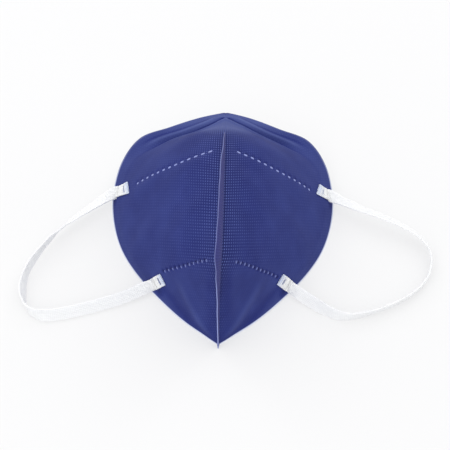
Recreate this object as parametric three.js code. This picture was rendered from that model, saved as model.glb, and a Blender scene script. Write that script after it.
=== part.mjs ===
// Respirator mask: a cup of folded, laminated non-woven, opened out and lying rim down,
// with a welded fin down its front and two flat elastic ear loops laid beside it.
// Millimetres. +Z is up, +Y points from the chin to the nose, and x = 0 is the plane of the fold.
import * as THREE from "three";

// ---- Driving dimensions -------------------------------------------------------------------

const WALL = 1.2; // the laminate: spunbond, hot-air cotton, melt-blown and lining together
const GAP = 0.35; // clearance kept between neighbouring pieces
const CREASE_RADIUS = 3; // how softly the nose margin bends away from the cup
const RIDGE_BLEND = 3; // distance from the ridge over which the inner wall turns to its own side
const HANDLE_RATIO = 0.36; // length of a section's curve handles, as a share of its chord
const ARC_RATIO = 1.04; // length of a section's curve, as a share of its chord
const STRAY_REACH = 25; // distance from the fold in which its stray to one side dies out
const CHIN_REACH = 2.5; // how far the fin stands out in front of the chin
const NOSE_REACH = 127.5; // chin to nose edge, in plan
const MID_Y = (NOSE_REACH - CHIN_REACH) / 2; // the part's own origin lies halfway along it

const FIN_BASE = 1.5; // fin thickness where it stands on the ridge
const FIN_EDGE = 1.0; // and at its cut edge
const BAND_WIDTH = 6.2; // flat elastic
const BAND_THICKNESS = 1.0;
const CORD_DIAMETER = 2; // plain stand-in for the loose part of a band
const CORD_SIDES = 8;
const CORD_STEP = 2.5 * CORD_DIAMETER; // distance between its stations
const CORD_GAP = 0.3; // from the welded end to the loose part
const CORD_LEAD = 2; // how far the loose part runs on straight from the welded end

const CUP_STEPS = 44; // stations from nose to chin
const HALF_STEPS = 14; // stations from the fold to the rim

// ---- The cup's sections -------------------------------------------------------------------
// One row for each section, from the tip of the nose to the tip of the chin. A section runs from
// the fold line out to the rim; the left half mirrors the right, but for the fold's own stray.
//   stray             how far the fold lies to the right of the middle
//   seamY, seamZ      the fold line
//   rimX, rimY, rimZ  the cut edge
//   leave, arrive     slope in degrees below level, at the fold line and at the margin's crease
//   margin, flare     the margin strip's width, and its slope in degrees

const SECTION_COLUMNS = [
  "stray", "seamY", "seamZ", "rimX", "rimY", "rimZ", "leave", "arrive", "margin", "flare",
];
const SECTIONS = [
  [0.7, 127.5, 30.0, 0.0, 127.5, 30.0, 10, 30, 0.0, 24], // tip of the nose
  [0.8, 119.5, 34.5, 14.0, 124.8, 28.0, 36, 42, 16.3, 24], // crease meets the fold
  [0.9, 107.0, 42.5, 29.0, 121.4, 24.0, 38, 42, 16.5, 15],
  [1.0, 88.0, 56.5, 44.2, 118.4, 18.6, 34, 50, 14.5, 10], // shoulder
  [1.1, 68.0, 61.0, 53.7, 108.8, 10.2, 30, 48, 11.0, 34],
  [1.2, 48.0, 62.0, 57.4, 92.4, 4.6, 30, 49, 10.0, 46], // upper band weld, widest
  [1.2, 29.0, 59.5, 56.6, 77.5, 0.0, 31, 48, 10.0, 48], // rests here
  [1.0, 15.0, 54.0, 51.9, 59.8, 0.0, 32, 47, 10.0, 48], // and here
  [0.6, 9.5, 46.0, 43.6, 43.8, 0.5, 33, 46, 9.0, 48], // knee of the fin, lower band weld
  [0.1, 5.5, 31.0, 31.4, 27.9, 0.8, 33, 45, 6.5, 48],
  [0.0, 2.0, 14.5, 16.8, 12.7, 0.6, 32, 42, 3.0, 46],
  [0.0, 0.0, 0.0, 0.0, 0.0, 0.0, 32, 40, 0.0, 44], // tip of the chin
];
const LAST = SECTIONS.length - 1;

// ---- The fin ------------------------------------------------------------------------------
//   at      place along the sections
//   height  how far it stands above the ridge
//   lean    how far its free edge has flopped to the left, in degrees

const FIN_COLUMNS = ["at", "height", "lean"];
const FIN = [
  [3.0, 0.5, 0],
  [3.6, 2.4, 12],
  [4.5, 3.8, 34],
  [6.0, 4.2, 42],
  [7.2, 4.7, 52], // knee
  [8.0, 3.6, 40],
  [9.2, 3.0, 12],
  [LAST, CHIN_REACH - GAP, 0],
];
const FIN_STEPS = 40;

// ---- Band ends ----------------------------------------------------------------------------
// Each end lies on the outside of the cup, from its cut end towards the rim.
//   at, out        its cut end, along the sections and out from the fold (1 is the rim)
//   atEnd, outEnd  where it stops being flat on the cup
//   flare          how much wider the horn has pressed it at its cut end

const BAND_ENDS = {
  upper_left: { at: 5.02, out: 0.821, atEnd: 5.05, outEnd: 0.925, flare: 0.22 },
  upper_right: { at: 4.93, out: 0.839, atEnd: 5.01, outEnd: 0.925, flare: 0.2 },
  lower_left: { at: 8.46, out: 0.7, atEnd: 8.56, outEnd: 0.832, flare: 0 },
  lower_right: { at: 8.365, out: 0.727, atEnd: 8.505, outEnd: 0.86, flare: 0 },
};
const END_STEPS = 6;

// ---- Ear loops ----------------------------------------------------------------------------
// The loose run of each band, from its upper end round to its lower end: it comes down to the
// surface and lies on its edge there. Points x, y, z, with y from the chin.

const LOOP_POINTS = {
  left: [
    [-60.5, 86, 7.7], [-66, 80.8, 7.7], [-71, 76.2, 7.6], [-76, 71.6, 7.3], [-81, 66.6, 6.8],
    [-85.6, 61, 6.2], [-89.8, 54.8, 5.5], [-93.4, 48.3, 4.9], [-96.2, 42, 4.3], [-97.6, 35.8, 3.8],
    [-97.8, 29.5, 3.5], [-96.8, 23.5, 3.4], [-95, 19, 3.3], [-92, 15.6, 3.3], [-88, 13.9, 3.2],
    [-83, 13.9, 2.9], [-77.5, 15, 2.7], [-70.5, 17, 2.6], [-63.5, 19.3, 2.6], [-56, 21.9, 2.8],
    [-49, 24.5, 3.3], [-43.5, 26.8, 4], [-40, 28.5, 4.8],
  ],
  right: [
    [60.5, 87, 7.8], [66, 84.1, 7.9], [71.5, 81, 7.9], [77.7, 78.6, 7.7], [84, 75.8, 7.4],
    [90, 72.8, 7], [96, 69.2, 6.3], [101.5, 64.7, 5.5], [104.8, 59, 4.8], [106.2, 53.2, 4.2],
    [105.5, 47.3, 3.8], [103.6, 41.5, 3.6], [100.2, 36, 3.5], [95.5, 31, 3.4], [89.5, 26.6, 3.3],
    [83, 22.8, 3.3], [76, 19.6, 3.3], [69, 17.2, 3.3], [63, 16.3, 3.3], [57.5, 17.4, 3.1],
    [52.5, 20.2, 2.8], [47.5, 23.4, 2.9], [42.7, 26.7, 3.6], [39, 28.7, 4.8],
  ],
};

// ---- Tools for the shapes -----------------------------------------------------------------

const radians = THREE.MathUtils.degToRad;
const UP = new THREE.Vector3(0, 0, 1);

// Catmull-Rom through one value a row, with the end slopes carried straight on.
function along(values, t) {
  const i = Math.min(Math.max(Math.floor(t), 0), values.length - 2);
  const f = t - i;
  const b = values[i];
  const c = values[i + 1];
  const a = i > 0 ? values[i - 1] : 2 * b - c;
  const d = i + 2 < values.length ? values[i + 2] : 2 * c - b;
  return b + 0.5 * f * (c - a + f * (2 * a - 5 * b + 4 * c - d + f * (3 * b - a - 3 * c + d)));
}

function splinePoint(points, t) {
  const axis = (k) => along(points.map((p) => p.getComponent(k)), t);
  return new THREE.Vector3(axis(0), axis(1), axis(2));
}

// Named columns of a table, read between its rows by one of them.
function between(columns, rows, column, key, at) {
  const k = columns.indexOf(key);
  const c = columns.indexOf(column);
  let i = 0;
  while (i < rows.length - 2 && at > rows[i + 1][k]) i += 1;
  const f = THREE.MathUtils.clamp((at - rows[i][k]) / (rows[i + 1][k] - rows[i][k]), 0, 1);
  return THREE.MathUtils.lerp(rows[i][c], rows[i + 1][c], THREE.MathUtils.smoothstep(f, 0, 1));
}

// Control points of every section: fold, two handles, crease, rim.
function sectionNet() {
  const net = { fold: [], leave: [], arrive: [], crease: [], rim: [] };
  const row = (i, name) => SECTIONS[i][SECTION_COLUMNS.indexOf(name)];
  const ends = (i) => ({
    fold: new THREE.Vector3(0, row(i, "seamY"), row(i, "seamZ")),
    rim: new THREE.Vector3(row(i, "rimX"), row(i, "rimY"), row(i, "rimZ")),
  });
  for (let i = 0; i <= LAST; i += 1) {
    const { fold, rim } = ends(i);
    const near = ends(THREE.MathUtils.clamp(i, 1, LAST - 1)); // the tips borrow their neighbour's
    const inward = near.fold.clone().sub(near.rim).setZ(0).normalize();
    const slope = (name, sign) =>
      inward
        .clone()
        .multiplyScalar(sign * Math.cos(radians(row(i, name))))
        .addScaledVector(UP, sign * Math.sin(radians(row(i, name))));
    const crease = rim.clone().addScaledVector(slope("flare", 1), row(i, "margin"));
    const handle = HANDLE_RATIO * crease.distanceTo(fold);
    net.fold.push(fold);
    net.leave.push(fold.clone().addScaledVector(slope("leave", -1), handle));
    net.arrive.push(crease.clone().addScaledVector(slope("arrive", 1), handle));
    net.crease.push(crease);
    net.rim.push(rim);
  }
  return net;
}
const NET = sectionNet();

const STRAYS = SECTIONS.map((row) => row[SECTION_COLUMNS.indexOf("stray")]);
const strayAt = (t) => along(STRAYS, t);

// A point of the cup's outer face: t along the rows, v from the fold (0) to the rim (1).
// The section is a cubic from the fold to the crease, then a straight margin, with the corner
// between them rounded by a hyperbola.
function cupPoint(t, v, side) {
  const [fold, leave, arrive, creaseLine, rim] = Object.values(NET).map((p) => splinePoint(p, t));
  const crease = t < 1 ? fold : creaseLine; // above its start on the fold there is only margin
  const body = ARC_RATIO * crease.distanceTo(fold);
  const strip = rim.distanceTo(crease);
  const whole = body + strip;
  const round = Math.min(CREASE_RADIUS, body / 2);
  const past = (s) => 0.5 * (s - body + Math.hypot(s - body, round));
  const s = v * whole;
  const onStrip = past(s) - past(0) * (1 - v);
  const w = body > 0 ? THREE.MathUtils.clamp((s - onStrip) / body, 0, 1) : 1;
  const q = 1 - w;
  const point = new THREE.Vector3()
    .addScaledVector(fold, q * q * q)
    .addScaledVector(leave, 3 * q * q * w)
    .addScaledVector(arrive, 3 * q * w * w)
    .addScaledVector(crease, w * w * w);
  if (strip > 0) point.addScaledVector(rim.clone().sub(crease), onStrip / strip);
  point.x = side * point.x + strayAt(t) * Math.exp(-((s / STRAY_REACH) ** 2));
  point.z = Math.max(point.z, 0);
  return point;
}

// Unit directions on the outer face: outward normal, and up the section towards the fold. The
// sections shrink to nothing at the two tips, so the directions there are taken just inside them.
function cupFrame(t, v, side) {
  const step = 0.01;
  const inset = 0.06;
  const tIn = THREE.MathUtils.clamp(t, inset, LAST - inset);
  const vIn = THREE.MathUtils.clamp(v, step, 1 - step);
  const alongRows = cupPoint(tIn + step, vIn, side).sub(cupPoint(tIn - step, vIn, side));
  const upSection = cupPoint(tIn, vIn - step, side).sub(cupPoint(tIn, vIn + step, side));
  const normal = alongRows.cross(upSection).multiplyScalar(-side).normalize();
  return { normal, upSection: upSection.normalize() };
}

// The same point on the inner face. Near the fold the offset turns into the fold's own plane, so
// that the two halves meet there; a point below the surface slides up the section to it.
function innerPoint(t, v, side) {
  const outer = cupPoint(t, v, side);
  const { normal, upSection } = cupFrame(t, v, side);
  const own = 1 - Math.exp(-Math.abs(outer.x - strayAt(t)) / RIDGE_BLEND);
  const across = new THREE.Vector3(normal.x * own, normal.y, normal.z).normalize();
  const inner = outer.clone().addScaledVector(across, -WALL / across.dot(normal));
  const leastRise = 0.2; // keeps the slide short where a section is nearly level
  if (inner.z < 0) inner.addScaledVector(upSection, -inner.z / Math.max(upSection.z, leastRise));
  return inner;
}

// ---- Meshes -------------------------------------------------------------------------------

function solid(name, vertices, faces, material) {
  const geometry = new THREE.BufferGeometry();
  const flat = vertices.flatMap((p) => [p.x, p.y - MID_Y, p.z]);
  geometry.setAttribute("position", new THREE.Float32BufferAttribute(flat, 3));
  geometry.setIndex(faces.flat());
  geometry.computeVertexNormals();
  const mesh = new THREE.Mesh(geometry, material);
  mesh.name = name;
  return mesh;
}

const twoTriangles = (a, b, c, d) => [[a, b, c], [a, c, d]];

// The cup: an outer and an inner grid over both halves, joined round the rim. All the columns
// of the first and last rows are one point, the tips of the nose and the chin.
function cup(material) {
  const vertices = [];
  const grid = (pointAt) =>
    Array.from({ length: CUP_STEPS + 1 }, (_, i) => {
      const t = (LAST * i) / CUP_STEPS;
      const tip = i === 0 || i === CUP_STEPS;
      const count = 2 * HALF_STEPS + 1;
      return Array.from({ length: count }, (_, j) => {
        if (!tip || j === 0) vertices.push(pointAt(t, tip ? 0 : (j - HALF_STEPS) / HALF_STEPS));
        return vertices.length - 1;
      });
    });
  const outer = grid((t, v) => cupPoint(t, Math.abs(v), v < 0 ? -1 : 1));
  const inner = grid((t, v) => innerPoint(t, Math.abs(v), v < 0 ? -1 : 1));
  const faces = [];
  const quad = (a, b, c, d) => {
    const open = (f) => new Set(f).size === 3;
    faces.push(...twoTriangles(a, b, c, d).filter(open));
  };
  for (let i = 0; i < CUP_STEPS; i += 1) {
    for (let j = 0; j < 2 * HALF_STEPS; j += 1) {
      quad(outer[i][j], outer[i + 1][j], outer[i + 1][j + 1], outer[i][j + 1]);
      quad(inner[i][j], inner[i][j + 1], inner[i + 1][j + 1], inner[i + 1][j]);
    }
    const right = 2 * HALF_STEPS;
    quad(outer[i][0], inner[i][0], inner[i + 1][0], outer[i + 1][0]);
    quad(outer[i][right], outer[i + 1][right], inner[i + 1][right], inner[i][right]);
  }
  return solid("mask_body", vertices, faces, material);
}

// A closed bar: one ring of points for each station, capped at both ends.
function bar(name, rings, material) {
  const sides = rings[0].length;
  const at = (i, j) => i * sides + (j % sides);
  const faces = [];
  for (let i = 0; i < rings.length - 1; i += 1)
    for (let j = 0; j < sides; j += 1)
      faces.push(...twoTriangles(at(i, j), at(i, j + 1), at(i + 1, j + 1), at(i + 1, j)));
  const end = rings.length - 1;
  for (let j = 1; j < sides - 1; j += 1) {
    faces.push([at(0, 0), at(0, j + 1), at(0, j)]);
    faces.push([at(end, 0), at(end, j), at(end, j + 1)]);
  }
  return solid(name, rings.flat(), faces, material);
}

// The fin: a strip standing on the ridge, whose free edge bends over to the left.
function fin(material) {
  const levels = [0, 1 / 3, 2 / 3, 1];
  const first = FIN[0][0];
  const rings = Array.from({ length: FIN_STEPS + 1 }, (_, i) => {
    const t = first + ((LAST - first) * i) / FIN_STEPS;
    const value = (column) => between(FIN_COLUMNS, FIN, column, "at", t);
    const foot = cupPoint(t, 0, 1);
    const ahead = cupPoint(Math.min(t + 0.02, LAST), 0, 1);
    const run = ahead.sub(cupPoint(Math.min(t, LAST - 0.02), 0, 1)).normalize();
    const outward = new THREE.Vector3(0, run.z, -run.y);
    if (outward.z < 0 && t < LAST - 1) outward.negate();
    const height = value("height");
    const lean = radians(value("lean"));
    const centre = foot.addScaledVector(outward, GAP);
    const left = [];
    const right = [];
    levels.forEach((level, k) => {
      const tilt = lean * level;
      const upright = outward.clone().multiplyScalar(Math.cos(tilt)).setX(-Math.sin(tilt));
      if (k > 0) centre.addScaledVector(upright, height * (level - levels[k - 1]));
      const half = THREE.MathUtils.lerp(FIN_BASE, FIN_EDGE, level) / 2;
      const across = outward.clone().multiplyScalar(Math.sin(tilt)).setX(Math.cos(tilt));
      left.push(centre.clone().addScaledVector(across, -half));
      right.push(centre.clone().addScaledVector(across, half));
    });
    return [...right, ...left.reverse()].map((p) => p.setZ(Math.max(p.z, 0)));
  });
  return bar("centre_seam", rings, material);
}

// The stations of a band's end as it lies on the cup.
function bandEndStations(place, side) {
  const { at, out, atEnd, outEnd, flare } = BAND_ENDS[place];
  const tAt = (f) => THREE.MathUtils.lerp(at, atEnd, f);
  const vAt = (f) => THREE.MathUtils.lerp(out, outEnd, f);
  const ahead = 0.02;
  return Array.from({ length: END_STEPS + 1 }, (_, i) => {
    const f = i / END_STEPS;
    const point = cupPoint(tAt(f), vAt(f), side);
    const run = cupPoint(tAt(f + ahead), vAt(f + ahead), side).sub(point).normalize();
    const { normal } = cupFrame(tAt(f), vAt(f), side);
    const across = run.clone().cross(normal).normalize();
    const wider = 1 + flare * (1 - THREE.MathUtils.smoothstep(f, 0, 0.9));
    return { point, run, normal, across, wider };
  });
}

function bandEnd(place, side, material) {
  const half = BAND_WIDTH / 2;
  const top = GAP + BAND_THICKNESS;
  const corners = [[half, GAP], [-half, GAP], [-half, top], [half, top]];
  const rings = bandEndStations(place, side).map(({ point, normal, across, wider }) =>
    corners.map(([a, h]) => point.clone().addScaledVector(across, a * wider).addScaledVector(normal, h)),
  );
  return bar(`${place}_strap_end`, rings, material);
}

// Where the loose band leaves its welded end, and the way it points there.
function bandExit(place, side) {
  const { point, run, normal } = bandEndStations(place, side).at(-1);
  const middle = point.addScaledVector(normal, GAP + CORD_DIAMETER / 2);
  return { start: middle.clone().addScaledVector(run, CORD_GAP), run };
}

function earLoop(word, side, material) {
  const upper = bandExit(`upper_${word}`, side);
  const lower = bandExit(`lower_${word}`, side);
  const route = [
    upper.start,
    upper.start.clone().addScaledVector(upper.run, CORD_LEAD),
    ...LOOP_POINTS[word].map(([x, y, z]) => new THREE.Vector3(x, y, z)),
    lower.start.clone().addScaledVector(lower.run, CORD_LEAD),
    lower.start,
  ].map((p) => p.clone().setY(p.y - MID_Y));
  const path = new THREE.CatmullRomCurve3(route, false, "centripetal");
  const section = new THREE.Shape(
    Array.from({ length: CORD_SIDES }, (_, i) => {
      const angle = (2 * Math.PI * i) / CORD_SIDES;
      return new THREE.Vector2(Math.cos(angle), Math.sin(angle)).multiplyScalar(CORD_DIAMETER / 2);
    }),
  );
  const steps = Math.round(path.getLength() / CORD_STEP);
  const geometry = new THREE.ExtrudeGeometry(section, { steps, extrudePath: path });
  const mesh = new THREE.Mesh(geometry, material);
  mesh.name = `${word}_ear_loop`;
  return mesh;
}

// ---- The part -----------------------------------------------------------------------------

const navySpunbond = new THREE.MeshStandardMaterial({ color: 0x37417e, roughness: 0.85 });
const weldedFabric = new THREE.MeshStandardMaterial({ color: 0x5a5f96, roughness: 0.6 });
const whiteElastic = new THREE.MeshStandardMaterial({ color: 0xf3f6f7, roughness: 0.8 });

const mask = new THREE.Group();
mask.add(cup(navySpunbond));
mask.add(fin(weldedFabric));
for (const [word, side] of [["left", -1], ["right", 1]]) {
  for (const height of ["upper", "lower"]) mask.add(bandEnd(`${height}_${word}`, side, whiteElastic));
  mask.add(earLoop(word, side, whiteElastic));
}

export default mask;
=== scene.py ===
"""A fold respirator mask of navy non-woven, opened out and lying rim down with its ear loops beside it.

Every shape is worked out in millimetres with numpy, y measured from the tip of the chin, and turned
to metres in the part's own frame when its mesh is made. The tables are those of the CAD source.
"""

import bpy
import numpy as np
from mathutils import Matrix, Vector


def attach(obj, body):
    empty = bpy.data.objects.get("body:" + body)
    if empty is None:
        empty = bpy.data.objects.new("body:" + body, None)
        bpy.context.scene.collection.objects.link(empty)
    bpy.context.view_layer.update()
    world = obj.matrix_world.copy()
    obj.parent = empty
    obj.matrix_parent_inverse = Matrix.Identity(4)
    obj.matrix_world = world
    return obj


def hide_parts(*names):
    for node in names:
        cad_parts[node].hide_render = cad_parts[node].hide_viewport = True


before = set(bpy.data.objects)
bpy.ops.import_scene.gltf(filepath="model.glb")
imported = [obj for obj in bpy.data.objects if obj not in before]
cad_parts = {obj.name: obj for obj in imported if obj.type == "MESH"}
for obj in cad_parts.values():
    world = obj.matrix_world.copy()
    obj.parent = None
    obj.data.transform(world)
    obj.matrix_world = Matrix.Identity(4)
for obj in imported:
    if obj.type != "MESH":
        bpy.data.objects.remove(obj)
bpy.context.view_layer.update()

# ---- Driving dimensions, in millimetres ------------------------------------------------------

MM = 0.001  # metres in a millimetre
WALL = 1.2  # the laminate
CREASE_RADIUS = 3.0  # rounding of the corner between the cup and its margin
RIDGE_BLEND = 3.0  # distance from the fold in which the wall's offset turns into the fold's plane
HANDLE_RATIO = 0.36  # a section's handles over its chord
ARC_RATIO = 1.04  # a section's length over its chord
STRAY_REACH = 25.0  # distance from the fold in which its stray to one side dies out
CHIN_REACH = 2.5  # how far the fin stands out in front of the chin
NOSE_REACH = 127.5  # chin to nose edge
MID_Y = (NOSE_REACH - CHIN_REACH) / 2  # the part's own origin lies halfway along it
BAND_WIDTH = 6.2
BAND_THICKNESS = 1.0
CORD_LEAD = 2.0  # how far the loose band runs on straight from its welded end

FLOOR_CLEAR = 0.02  # the bands keep this far above the surface

CUP_ROWS = 250  # stations of the cloth from nose to chin
OUTER_COLUMNS = 135  # and from the fold to the rim, outside
INNER_COLUMNS = 36  # and inside
FLAT_ROWS = 44  # coarser grid on which the cloth is laid out flat
FLAT_COLUMNS = 18

# ---- The cup's sections ----------------------------------------------------------------------
# The fold's stray to the right, fold line, rim, slope leaving the fold and arriving at the margin's
# crease, margin and its flare.

SECTION_COLUMNS = ["stray", "seamY", "seamZ", "rimX", "rimY", "rimZ", "leave", "arrive", "margin", "flare"]
SECTIONS = np.array([
    [0.7, 127.5, 30.0, 0.0, 127.5, 30.0, 10, 30, 0.0, 24],  # tip of the nose
    [0.8, 119.5, 34.5, 14.0, 124.8, 28.0, 36, 42, 16.3, 24],  # the margin's crease meets the fold
    [0.9, 107.0, 42.5, 29.0, 121.4, 24.0, 38, 42, 16.5, 15],
    [1.0, 88.0, 56.5, 44.2, 118.4, 18.6, 34, 50, 14.5, 10],  # shoulder
    [1.1, 68.0, 61.0, 53.7, 108.8, 10.2, 30, 48, 11.0, 34],
    [1.2, 48.0, 62.0, 57.4, 92.4, 4.6, 30, 49, 10.0, 46],  # upper band weld
    [1.2, 29.0, 59.5, 56.6, 77.5, 0.0, 31, 48, 10.0, 48],
    [1.0, 15.0, 54.0, 51.9, 59.8, 0.0, 32, 47, 10.0, 48],
    [0.6, 9.5, 46.0, 43.6, 43.8, 0.5, 33, 46, 9.0, 48],  # knee, lower band weld
    [0.1, 5.5, 31.0, 31.4, 27.9, 0.8, 33, 45, 6.5, 48],
    [0.0, 2.0, 14.5, 16.8, 12.7, 0.6, 32, 42, 3.0, 46],
    [0.0, 0.0, 0.0, 0.0, 0.0, 0.0, 32, 40, 0.0, 44],  # tip of the chin
])
LAST = len(SECTIONS) - 1

# The fin on the ridge: place along the sections, height, lean to the left in degrees.
FIN = np.array([
    [3.0, 0.5, 0],
    [3.6, 2.4, 12],
    [4.5, 3.8, 34],
    [6.0, 4.2, 42],
    [7.2, 4.7, 52],
    [8.0, 3.6, 40],
    [9.2, 3.0, 12],
    [LAST, CHIN_REACH - 0.35, 0],
])

# Each band's welded end: its cut end (along the sections, out from the fold), where it leaves, how
# far off square it is cut, and how much wider the horn has pressed it there.
BAND_ENDS = {
    "upper_left": {"at": 5.02, "out": 0.821, "atEnd": 5.05, "outEnd": 0.925, "askew": 0.65, "flare": 0.22},
    "upper_right": {"at": 4.93, "out": 0.839, "atEnd": 5.01, "outEnd": 0.925, "askew": 0.65, "flare": 0.2},
    "lower_left": {"at": 8.46, "out": 0.7, "atEnd": 8.56, "outEnd": 0.832, "askew": 0.1, "flare": 0.0},
    "lower_right": {"at": 8.365, "out": 0.727, "atEnd": 8.505, "outEnd": 0.86, "askew": 0.15, "flare": 0.0},
}

# The loose run of each band, from its upper end to its lower end.
LOOP_POINTS = {
    "left": [
        [-60.5, 86, 7.7], [-66, 80.8, 7.7], [-71, 76.2, 7.6], [-76, 71.6, 7.3], [-81, 66.6, 6.8],
        [-85.6, 61, 6.2], [-89.8, 54.8, 5.5], [-93.4, 48.3, 4.9], [-96.2, 42, 4.3], [-97.6, 35.8, 3.8],
        [-97.8, 29.5, 3.5], [-96.8, 23.5, 3.4], [-95, 19, 3.3], [-92, 15.6, 3.3], [-88, 13.9, 3.2],
        [-83, 13.9, 2.9], [-77.5, 15, 2.7], [-70.5, 17, 2.6], [-63.5, 19.3, 2.6], [-56, 21.9, 2.8],
        [-49, 24.5, 3.3], [-43.5, 26.8, 4], [-40, 28.5, 4.8],
    ],
    "right": [
        [60.5, 87, 7.8], [66, 84.1, 7.9], [71.5, 81, 7.9], [77.7, 78.6, 7.7], [84, 75.8, 7.4],
        [90, 72.8, 7], [96, 69.2, 6.3], [101.5, 64.7, 5.5], [104.8, 59, 4.8], [106.2, 53.2, 4.2],
        [105.5, 47.3, 3.8], [103.6, 41.5, 3.6], [100.2, 36, 3.5], [95.5, 31, 3.4], [89.5, 26.6, 3.3],
        [83, 22.8, 3.3], [76, 19.6, 3.3], [69, 17.2, 3.3], [63, 16.3, 3.3], [57.5, 17.4, 3.1],
        [52.5, 20.2, 2.8], [47.5, 23.4, 2.9], [42.7, 26.7, 3.6], [39, 28.7, 4.8],
    ],
}

# How each band rolls on its way: share of its length, and the angle of its width above level,
# below 0 where its inner edge is the higher. It leaves the cloth almost level, stands up on its
# edge round the bend, and leans back towards its lower end.
BAND_ROLL = {
    "left": [[0.06, -8], [0.12, -25], [0.18, -36], [0.24, -58], [0.3, -83], [0.42, -102], [0.5, -120],
             [0.555, -106], [0.6, -82], [0.64, -46], [0.7, -40], [0.94, -37]],
    "right": [[0.06, -10], [0.15, -25], [0.25, -33], [0.33, -45], [0.4, -72], [0.45, -88], [0.5, -100],
              [0.6, -108], [0.7, -108], [0.76, -99], [0.84, -70], [0.89, -45], [0.95, -40]],
}

# Weld lines: three places (along the sections, out from the fold) that each line passes, its
# number of marks, a mark's length at the inner and outer end, its width, whether the marks lie
# across the line, and the painted shadow beside each mark: how far out, how far up, and how dark.
WELD_LINES = {
    "upper_left": {"side": -1, "places": [[3.864, 0.112], [4.45, 0.412], [4.928, 0.734]],
                   "marks": 13, "length": [2.7, 1.7], "width": 1.4, "crosswise": False,
                   "shadow_spot": [0.3, 1.1, 0.35]},
    "upper_right": {"side": 1, "places": [[3.863, 0.128], [4.561, 0.457], [5.031, 0.750]],
                    "marks": 13, "length": [2.6, 1.7], "width": 1.35, "crosswise": False,
                    "shadow_spot": [0.6, 1.1, 0.75]},
    "lower_left": {"side": -1, "places": [[7.58, 0.126], [7.95, 0.352], [8.18, 0.623]],
                   "marks": 11, "length": [1.8, 1.6], "width": 1.1, "crosswise": True,
                   "shadow_spot": [1.0, 0.6, 1.4]},
    "lower_right": {"side": 1, "places": [[7.63, 0.146], [8.025, 0.402], [8.28, 0.661]],
                    "marks": 11, "length": [1.8, 1.5], "width": 1.2, "crosswise": True,
                    "shadow_spot": [1.15, 0.1, 1.5]},
}

# ---- Arrays and splines ----------------------------------------------------------------------

UP = np.array([0.0, 0.0, 1.0])
RIGHT = np.array([1.0, 0.0, 0.0])


def unit(vectors):
    """Each vector divided by its length."""
    return vectors / np.maximum(np.linalg.norm(vectors, axis=-1, keepdims=True), 1e-12)


def along(values, t):
    """Uniform Catmull-Rom through one value a row, read at t, with its end slopes carried on."""
    i = np.clip(np.floor(t).astype(int), 0, len(values) - 2)
    f = (t - i).reshape(t.shape + (1,) * (values.ndim - 1))
    rows = np.concatenate([[2 * values[0] - values[1]], values, [2 * values[-1] - values[-2]]])
    a, b, c, d = (rows[i + k] for k in range(4))
    return b + 0.5 * f * (c - a + f * (2 * a - 5 * b + 4 * c - d + f * (3 * b - a - 3 * c + d)))


def ease(x, low, high):
    """0 below low, 1 above high, and a smoothstep between them."""
    f = np.clip((x - low) / (high - low), 0, 1)
    return f * f * (3 - 2 * f)


def span(x, start, full, fade, end):
    """0 before start, 1 from full to fade, 0 past end, and a smoothstep between them."""
    return ease(x, start, full) * (1 - ease(x, fade, end))


def travelled(points):
    """Length of the path through the points, up to each of them."""
    return np.concatenate([[0], np.cumsum(np.linalg.norm(np.diff(points, axis=0), axis=1))])


def between(rows, x):
    """Second and later columns of a table read at x in its first, with a smoothstep between rows."""
    rows = np.asarray(rows, float)
    i = np.clip(np.searchsorted(rows[:, 0], x, side="right") - 1, 0, len(rows) - 2)
    f = ease(x, rows[i, 0], rows[i + 1, 0])[..., None]
    return rows[i, 1:] * (1 - f) + rows[i + 1, 1:] * f


def bump(x, width):
    """A bell of height 1 at 0 that has fallen to 1/e at width."""
    return np.exp(-((x / width) ** 2))


# ---- The cup's surface -----------------------------------------------------------------------

def section_net():
    """Fold, two handles, crease and rim of every section, as five arrays of points."""
    value = {name: SECTIONS[:, k] for k, name in enumerate(SECTION_COLUMNS)}
    fold = np.stack([0 * value["seamY"], value["seamY"], value["seamZ"]], 1)
    rim = np.stack([value["rimX"], value["rimY"], value["rimZ"]], 1)
    inward = (fold - rim) * [1, 1, 0]
    inward[0], inward[-1] = inward[1], inward[-2]
    inward = unit(inward)

    def slope(name):
        """Direction inward and up at the angle in that column."""
        angle = np.radians(value[name])[:, None]
        return np.cos(angle) * inward + np.sin(angle) * UP

    crease = rim + value["margin"][:, None] * slope("flare")
    handle = HANDLE_RATIO * np.linalg.norm(crease - fold, axis=1, keepdims=True)
    return fold, fold - handle * slope("leave"), crease + handle * slope("arrive"), crease, rim


NET = section_net()


def section_lengths(t):
    """Lengths of a section from the fold to the crease, and of its margin."""
    fold, _, _, crease, rim = (along(line, t) for line in NET)
    crease = np.where(t[..., None] < 1, fold, crease)
    body = ARC_RATIO * np.linalg.norm(crease - fold, axis=-1)
    return body, np.linalg.norm(rim - crease, axis=-1)


def cup_point(t, v):
    """Point of the right half's outer face: t along the sections, v from the fold (0) to the rim (1).
    A section is a cubic from the fold to the crease and then a straight margin, with the corner
    between them rounded by a hyperbola."""
    fold, leave, arrive, crease, rim = (along(line, t) for line in NET)
    crease = np.where(t[..., None] < 1, fold, crease)
    body, strip = section_lengths(t)
    rounding = np.minimum(CREASE_RADIUS, body / 2)

    def past(s):
        """How far s lies past the crease, a hyperbola in place of a corner."""
        return 0.5 * (s - body + np.hypot(s - body, rounding))

    s = v * (body + strip)
    on_strip = past(s) - past(0 * s) * (1 - v)
    w = np.where(body > 0, np.clip((s - on_strip) / np.maximum(body, 1e-9), 0, 1), 1)[..., None]
    q = 1 - w
    point = q**3 * fold + 3 * q * q * w * leave + 3 * q * w * w * arrive + w**3 * crease
    point = point + (on_strip / np.maximum(strip, 1e-9))[..., None] * (rim - crease)
    point[..., 2] = np.maximum(point[..., 2], 0)
    return point


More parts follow.
